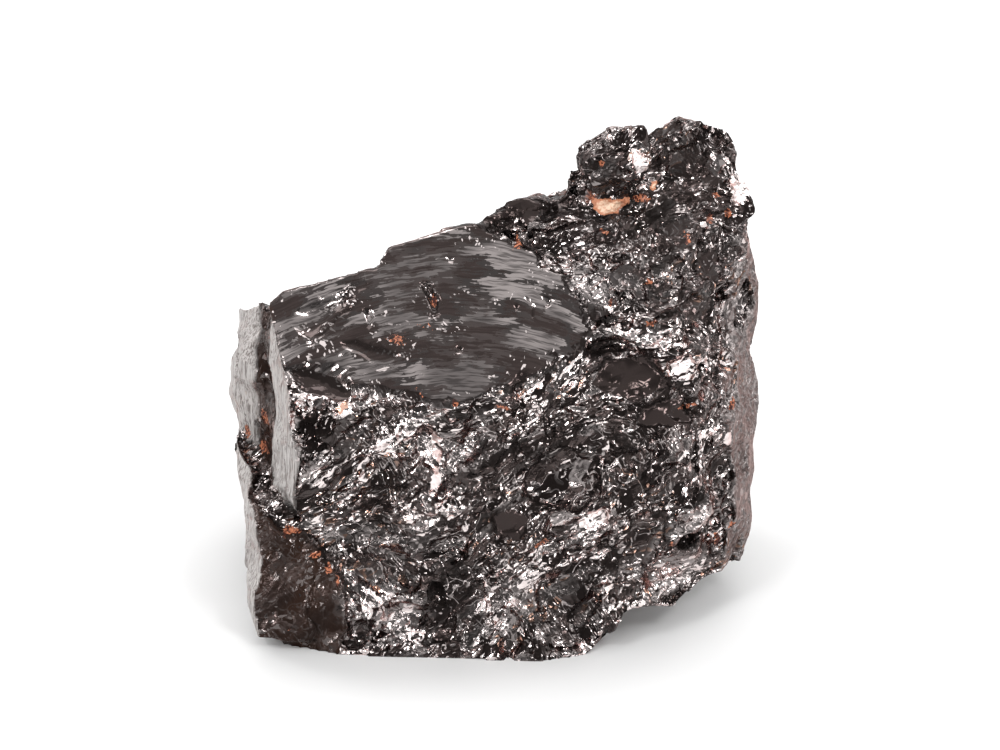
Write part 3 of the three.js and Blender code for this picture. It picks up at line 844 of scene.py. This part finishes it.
def arcHighlights(n, at):
    # painted highlights: nested bright arcs of the shell-like fracture, on one side of each shell's middle
    shellScale, arcCount = look["arcs"]
    shell = n.cells(at.bent, shellScale)
    reach = n.vector("SUBTRACT", at.bent, shell["Position"])
    away = n.vector("LENGTH", reach)
    facing = n.math("DIVIDE", n.vector("DOT_PRODUCT", reach, n.fromMiddle(shell["Color"])), away)
    waves = n.math("SINE", n.plus(n.times(away, arcCount * 2.0 * math.pi), n.times(at.patches, 9.0)))
    arcs = n.times(n.step("arc", waves), n.step("arcSide", facing), n.step("arcReach", away))
    return n.times(arcs, n.step("arcCell", at.wide[2]), n.no(at.foot, 0.8))


def highlightLines(n, at):
    # painted highlights: bright arcs, winding lines, dashes like combed hair, and thin cracks
    curves = n.step("curve", n.math("SINE", n.times(n.cloud("curves", at.slivers), look["curves"])))
    curves = n.times(curves, n.most(at.silvery, n.patch("curvePlace", at.bent)))
    hair = n.patch("hair", n.turned(at.bent, *look["hair"]))
    hair = n.times(hair, n.most(at.silvery, n.patch("hairPlace", at.place)))
    scale, width = look["cracks"]
    gap = n.cells(at.bent, scale, "DISTANCE_TO_EDGE")["Distance"]
    cracks = n.times(n.remap(gap, width * scale, 0.3 * width * scale), n.step("crackPlace", at.patches))
    kinds = (arcHighlights(n, at), curves, hair, cracks)
    lines = n.most(*(n.times(kind, share) for kind, share in zip(kinds, look["lines"])))
    return n.times(lines, at.broken, n.no(at.dark), n.no(at.still), n.no(at.foot, 0.9))


def paintedGlassReflection(n, at):
    # painted reflections: long flat lighter streaks on the glassy face, in low arches, with torn edges and
    # fine lines in them
    archMiddle, archBend = look["arch"]
    bend, byLines, byTears, byMask = look["streakEdge"]
    axes = n.axes(at.place)
    aside = n.plus(axes["X"], -archMiddle)
    arched = n.plus(axes["Y"], n.times(aside, aside, archBend))
    lying = n.add("CombineXYZ", {"X": axes["X"], "Y": arched})[0]
    lying = n.vector("ADD", lying, n.vector("SCALE", at.bend, bend))
    at.stria = n.cloud("stria", n.vector("MULTIPLY", lying, look["stria"]))
    streak = n.cloud("streaks", n.vector("MULTIPLY", lying, look["streaks"]))
    tears = n.cloud("torn", at.place)
    streak = n.plus(streak, n.times(at.stria, byLines), n.times(tears, byTears), n.times(at.streaky, byMask))
    outer = n.times(n.step("streakOuter", streak), look["streakShine"])
    paintedShine = n.plus(outer, n.times(n.step("streakInner", streak), n.step("lined", at.stria)))
    at.border = n.remap(at.glassy, *look["steps"]["glassOuter"], 0.0, n.step("glassInner", at.glassy))
    return n.times(paintedShine, at.glassy, n.no(at.border), n.patch("streakPlace", lying))


def reliefNormal(n, at, normal):
    # the combed strips' upright ribs, and grain
    strength, depth, ribHeight = look["relief"]
    at.ribs = n.cloud("ribs", n.vector("MULTIPLY", at.place, look["ribs"]))
    grain = n.times(n.cloud("grain", at.place), n.mix(n.most(at.glassy, at.still), 1.0, 0.2))
    height = n.plus(n.times(at.ribs, at.combed, ribHeight), grain)
    inputs = {"Strength": strength, "Distance": depth * mm, "Height": height, "Normal": normal}
    return n.add("Bump", inputs)[0]


def stoneColour(n, at, paintedShine):
    warm = n.times(n.step("warmGlint", at.mid[2]), n.patch("warmGlintPlace", at.place))
    warm = n.times(warm, n.no(at.glassy), n.step("notGlinty", at.flaky))
    colour = n.blend(n.times(at.foot, n.step("foot", at.patches)), look["black"], look["brown"])
    # the combed strips' light grey is painted glancing reflection, ribbed with darker lines
    colour = n.blend(at.combed, colour, n.blend(n.step("ribs", at.ribs), look["ribShade"], look["stripReflection"]))
    # painted highlights: where paintedShine is, the colour turns to glint silver or warm glint
    colour = n.blend(paintedShine, colour, n.blend(warm, look["silver"], look["warmGlint"]))
    rusty = n.blend(n.step("rustColour", at.fine[2]), look["rustShade"], look["rust"])
    colour = n.blend(at.rustShare, colour, rusty)
    creamPart = n.step("creamColour", n.plus(at.cream, n.times(at.speckle, 0.6)))
    return n.blend(at.creamShare, colour, n.blend(creamPart, look["creamShade"], look["cream"]))


def stoneGleam(n, at):
    # how strongly each facet reflects; evenly where the stone is calm, less in the quiet places, and less in
    # the hollows and grooves, which is painted shade
    gleam = n.times(n.step("gleam", at.wide[0]), at.tooth, n.no(at.quiet, 0.35))
    gleam = n.mix(at.still, gleam, look["evenGleam"])
    gleam = n.mix(n.most(at.glassy, at.combed), gleam, n.step("glassGleam", at.stria))
    return n.times(gleam, n.no(at.dark, 0.6), n.no(at.foot, 0.4), n.no(at.border, 0.8))


def stoneRoughness(n, at, stained):
    smooth, flaky, dull = look["rough"]
    rough = n.mix(n.most(at.glassy, at.still), n.step("rough", at.speckle), smooth)
    rough = n.mix(n.step("veryGlinty", at.flaky), rough, flaky)
    return n.mix(n.most(at.combed, stained, at.grainy), rough, dull)


def stoneMaterial():
    material = bpy.data.materials.new("blackGlassStone")
    material.use_nodes = True
    material.node_tree.nodes.clear()
    n = Nodes(material.node_tree)
    at = stoneFields(n)
    normal = facetNormal(n, at)
    glintFlakes = paintedGlints(n, at)
    # painted highlights and reflections: glints, sheen, bright lines and glass streaks, shown as silver metal
    paintedShine = n.most(glintFlakes, paintedSheen(n, at), highlightLines(n, at), paintedGlassReflection(n, at))
    at.rustShare = n.step("rust", n.plus(at.rust, n.times(at.speckle, 2.0)))
    at.creamShare = n.step("cream", n.plus(at.cream, n.times(at.speckle, 0.5)))
    stained = n.most(at.rustShare, at.creamShare)
    inputs = {
        "Normal": reliefNormal(n, at, normal),
        "Base Color": stoneColour(n, at, paintedShine),
        "Metallic": n.times(n.step("metal", paintedShine), n.no(stained)),
        "Specular IOR Level": stoneGleam(n, at),
        "Roughness": stoneRoughness(n, at, stained),
        "IOR": look["index"],
        "Specular Tint": (*look["tint"], 1.0),
    }
    n.add("OutputMaterial", {"Surface": n.add("BsdfPrincipled", inputs)[0]})
    return material


stone.data.materials.clear()
stone.data.materials.append(stoneMaterial())
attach(stone, "root")
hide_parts(stoneNode)
print("stone material done")

# floor, lights and camera

studio = {
    "floorWidth": 0.7,  # metres
    "floorColour": (0.6, 0.6, 0.6),
    "floorRoughness": 0.5,
    "target": (0.46, 34.73),  # mm, the floor point that the lens looks at
    "distance": 420.5,
    "pitch": 29.9,  # degrees below level
    "roll": 1.15,
    "lens": 151.2,
    "sensor": 36.0,  # mm wide
    "clip": (0.01, 20.0),  # metres: nearest and farthest seen
    "world": (1.0, 1.1, 0.3),  # brightness near the horizon, overhead, and low in front
    "worldRise": (0.15, 0.75),  # how high the horizon's brightness ends and overhead's begins
    "worldFront": (-0.9, -0.3),  # and how far round the front is dim
    "lampAim": 0.02,  # metres up
    "lamps": (  # name, degrees right of the front, degrees up, metres away,
        # width and height in metres, brightness
        ("backTop", 180, 66, 0.5, 0.42, 0.22, 5.0),
        ("leftLow", -48, 13, 0.5, 0.12, 0.09, 25.0),
        ("rightLow", 50, 13, 0.5, 0.12, 0.09, 25.0),
        ("frontLow", 12, 7, 0.6, 0.18, 0.04, 20.0),
        ("leftHigh", -40, 48, 0.5, 0.09, 0.09, 25.0),
        ("rightHigh", 38, 50, 0.5, 0.09, 0.09, 25.0),
        ("leftBack", -120, 35, 0.5, 0.12, 0.16, 10.0),
        ("rightBack", 115, 30, 0.5, 0.12, 0.16, 10.0),
    ),
}


def floorMaterial():
    material = bpy.data.materials.new("paleFloor")
    material.use_nodes = True
    shader = material.node_tree.nodes["Principled BSDF"]
    shader.inputs["Base Color"].default_value = (*studio["floorColour"], 1.0)
    shader.inputs["Roughness"].default_value = studio["floorRoughness"]
    return material


def makeFloor():
    bm = bmesh.new()
    bmesh.ops.create_grid(bm, x_segments=1, y_segments=1, size=studio["floorWidth"] / 2)
    mesh = bpy.data.meshes.new("floor")
    bm.to_mesh(mesh)
    bm.free()
    floor = linked("floor", mesh)
    mesh.materials.append(floorMaterial())


def softLight(name, azimuth, rise, distance, width, height, brightness):
    lamp = bpy.data.lights.new(name, "AREA")
    lamp.shape = "RECTANGLE"
    lamp.size = width
    lamp.size_y = height
    lamp.energy = brightness * math.pi * width * height
    obj = linked(name, lamp)
    turn, lift = math.radians(azimuth), math.radians(rise)
    way = Vector((math.sin(turn) * math.cos(lift), -math.cos(turn) * math.cos(lift), math.sin(lift)))
    obj.location = Vector((0.0, 0.0, studio["lampAim"])) + way * distance
    obj.rotation_euler = (-way).to_track_quat("-Z", "Y").to_euler()


def makeCamera():
    data = bpy.data.cameras.new("camera")
    data.sensor_width = studio["sensor"]
    data.lens = studio["lens"]
    data.clip_start, data.clip_end = studio["clip"]
    camera = linked("camera", data)
    pitch, roll = math.radians(studio["pitch"]), math.radians(studio["roll"])
    target = Vector((*studio["target"], 0.0))
    eye = target + studio["distance"] * Vector((0.0, -math.cos(pitch), math.sin(pitch)))
    tilt = math.radians(90.0 - studio["pitch"])
    turn = Matrix.Rotation(tilt, 4, "X") @ Matrix.Rotation(roll, 4, "Z")
    camera.matrix_world = Matrix.Translation(eye * mm) @ turn
    bpy.context.scene.camera = camera


def makeWorld():
    # white near the horizon, a little brighter overhead, dim low in front
    world = bpy.data.worlds.new("studio")
    world.use_nodes = True
    bpy.context.scene.world = world
    n = Nodes(world.node_tree)
    background = world.node_tree.nodes["Background"]
    axes = n.axes(n.add("TexCoord", {})["Generated"])
    horizon, overhead, front = studio["world"]
    level = n.remap(axes["Z"], *studio["worldRise"], horizon, overhead)
    frontness = n.remap(axes["Y"], *studio["worldFront"], 1.0, 0.0)
    n.put(background.inputs["Strength"], n.mix(frontness, level, front))
    n.put(background.inputs["Color"], (1.0, 1.0, 1.0, 1.0))


makeFloor()
makeWorld()
makeCamera()
for lamp in studio["lamps"]:
    softLight(*lamp)
bpy.context.scene.view_settings.view_transform = "Standard"
print("studio done")
